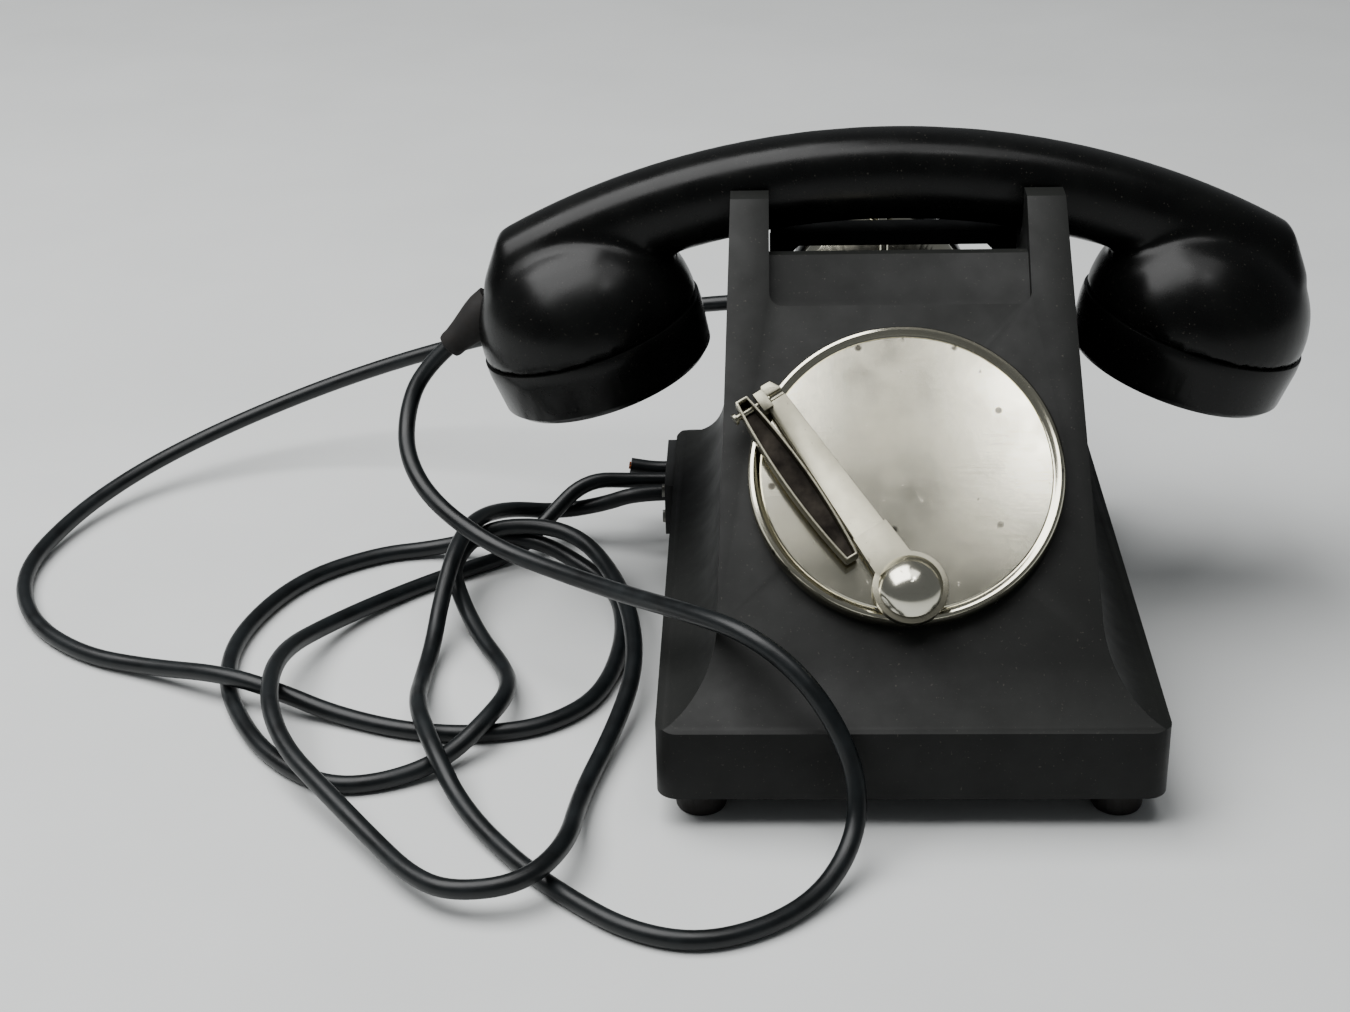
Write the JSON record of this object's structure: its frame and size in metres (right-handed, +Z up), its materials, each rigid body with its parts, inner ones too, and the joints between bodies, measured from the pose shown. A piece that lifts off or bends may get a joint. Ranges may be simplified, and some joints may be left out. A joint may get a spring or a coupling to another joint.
{
  "type": "desk telephone with crank",
  "caption": "Bakelite desk telephone with handset on a cradle, folding crank on a round disc, bell, second earpiece and cords.",
  "frame": {"origin": "on the table under the middle of the set without its cords", "axes": "+Z up, -Y towards the crank side (front), +X to the right seen from the front"},
  "size_m": [0.421, 0.3003, 0.1545],
  "materials": {
    "bakelite": "satin moulded bakelite",
    "black_steel": "black lacquered sheet steel",
    "board": "brown pressed board",
    "brass": "turned brass",
    "can": "grey painted can",
    "coil_wire": "enamelled copper wire",
    "copper": "bare copper",
    "cord_sheath": "smooth black cord sheath",
    "gong_metal": "nickel brass gong",
    "magnet_iron": "painted magnet steel",
    "nickel": "polished nickel plate, worn",
    "rubber": "matt black rubber",
    "screw_steel": "bright steel"
  },
  "bodies": {
    "base": {"armature_bushes": "brass", "base_plate": "black_steel", "condenser": "can", "contact_blades": "brass", "contact_block": "board", "cord_plate": "black_steel", "cord_plate_screws": "screw_steel", "earpiece_cord": "cord_sheath", "foot_front_left": "rubber", "foot_front_right": "rubber", "foot_rear_left": "rubber", "foot_rear_right": "rubber", "foot_screws": "screw_steel", "generator_front_plate": "screw_steel", "generator_magnets": "magnet_iron", "generator_rear_plate": "screw_steel", "generator_spacers": "screw_steel", "gong_left": "gong_metal", "gong_posts": "brass", "gong_right": "gong_metal", "handset_cord": "cord_sheath", "hook_spring": "screw_steel", "housing": "bakelite", "housing_screws": "screw_steel", "induction_coil": "coil_wire", "line_cord_stub": "cord_sheath", "rear_hook": "nickel", "ringer_coils": "coil_wire", "ringer_frame": "screw_steel", "spring_shelf": "screw_steel", "stub_cores": "copper", "terminal_block": "board", "terminal_screws": "brass"},
    "crank": {"crank_disc": "nickel", "crank_arm": "nickel", "dome_nut": "nickel", "handle_pin": "nickel", "crank_shaft": "screw_steel", "drive_gear": "brass"},
    "crank_handle": {"crank_handle": "nickel"},
    "armature": {"armature": "screw_steel", "armature_winding": "coil_wire", "pinion": "brass"},
    "cradle": {"cradle_fork": "bakelite"},
    "clapper": {"clapper": "brass"},
    "handset": {"handset_body": "bakelite", "receiver_cap": "bakelite", "transmitter_cap": "bakelite", "receiver_capsule": "screw_steel", "transmitter_capsule": "screw_steel", "cord_boot": "rubber"},
    "earpiece": {"earpiece_shell": "nickel", "earpiece_cap": "bakelite", "earpiece_magnet": "magnet_iron", "earpiece_diaphragm": "screw_steel", "earpiece_ring": "nickel"}
  },
  "joints": [
    {"name": "crank_turn", "type": "hinge", "parent": "base", "child": "crank", "pos_m": [0, -0.0586, 0.0802], "axis": [0, -0.6884, 0.7254], "continuous": true},
    {"name": "handle_fold", "type": "hinge", "parent": "crank", "child": "crank_handle", "pos_m": [-0.03693, -0.04846, 0.10113], "axis": [-0.8387, -0.3951, -0.3749], "range_deg": [0, 90]},
    {"name": "armature_spin", "type": "hinge", "parent": "base", "child": "armature", "pos_m": [0, -0.08054, 0.05938], "axis": [0, -0.6884, 0.7254], "continuous": true},
    {"name": "handset_lift", "type": "slide", "parent": "base", "child": "handset", "axis": [0, 0, 1], "range_m": [0, 0.06]},
    {"name": "cradle_lift", "type": "slide", "parent": "base", "child": "cradle", "axis": [0, 0, 1], "range_m": [0, 0.005], "deforming": ["hook_spring"]},
    {"name": "clapper_swing", "type": "hinge", "parent": "base", "child": "clapper", "pos_m": [0, -0.0012, 0.029], "axis": [0, 0, 1], "range_deg": [-6, 6]},
    {"name": "earpiece_off", "type": "slide", "parent": "base", "child": "earpiece", "axis": [0, 0.9659, 0.2588], "range_m": [0, 0.04]}
  ],
  "couplings": [
    {"joint": "armature_spin", "follows": "crank_turn", "ratio": -4},
    {"joint": "cradle_lift", "follows": "handset_lift", "ratio": 0.08333}
  ]
}
